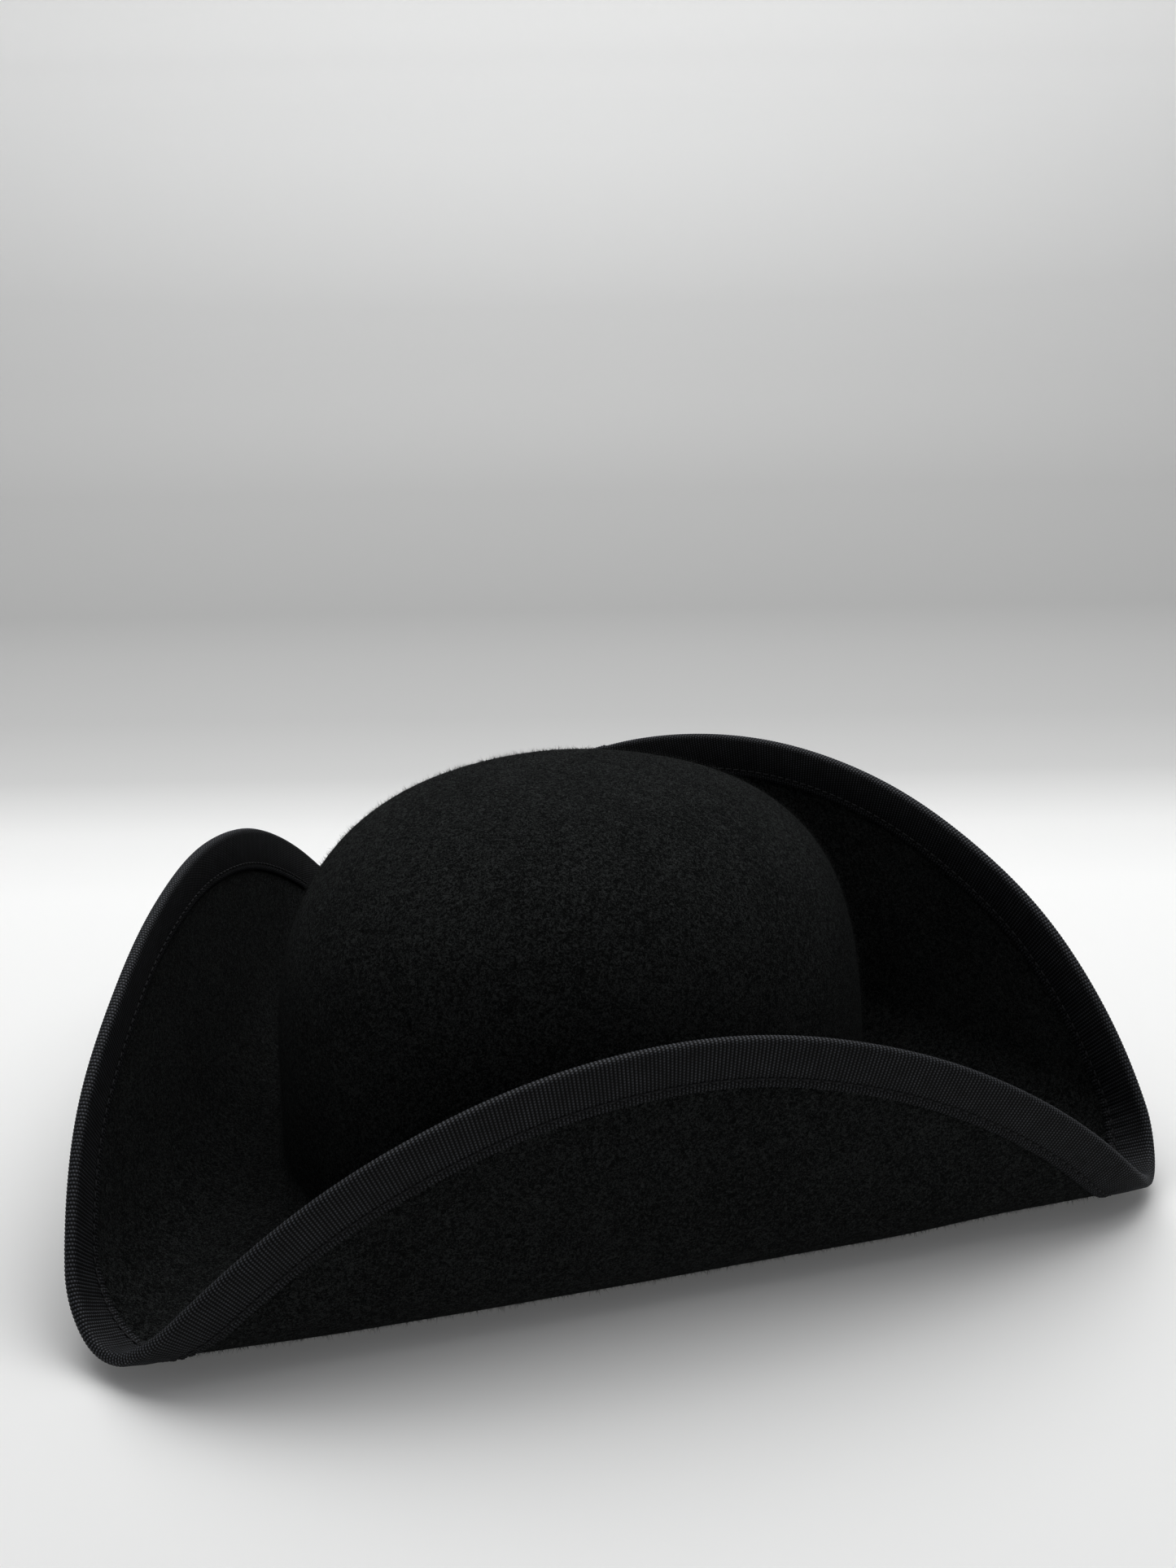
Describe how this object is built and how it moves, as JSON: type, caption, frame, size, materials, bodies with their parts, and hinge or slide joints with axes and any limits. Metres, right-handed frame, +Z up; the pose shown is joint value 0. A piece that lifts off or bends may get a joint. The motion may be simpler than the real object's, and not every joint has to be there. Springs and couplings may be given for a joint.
{
  "type": "tricorn hat",
  "caption": "Black felt tricorn pirate hat: rounded open crown, brim turned up on three sides, ribbon-bound edge, sweatband and satin lining inside.",
  "frame": {"origin": "centre of the hat's footprint box, on the surface that the hat stands on", "axes": "+X to the wearer's left, along the hat's widest direction; -Y to the front corner, +Y to the back flap; +Z up out of the crown"},
  "size_m": [0.3466, 0.3121, 0.1199],
  "materials": {
    "wool_felt": "matt black wool felt with a short brushed nap",
    "grosgrain": "black grosgrain ribbon, fine ribs across its width, faint satin sheen",
    "thread": "black polyester sewing thread",
    "sweatband": "black grained leather-look strip, semi-matt",
    "reed": "translucent off-white extruded plastic",
    "tape": "black woven cotton tape",
    "satin": "black polyester satin, soft sheen",
    "label": "off-white woven satin tape, blank"
  },
  "bodies": {
    "root": {"felt_body": "wool_felt", "brim_binding": "grosgrain", "binding_needle_thread": "thread", "binding_bobbin_thread": "thread", "sweatband": "sweatband", "sweatband_reed": "reed", "reed_tape": "tape", "sweatband_thread": "thread", "sweatband_join_tab": "tape", "lining_side": "satin", "lining_tip": "satin", "lining_thread": "thread", "size_label": "label", "care_label": "label"}
  },
  "joints": []
}
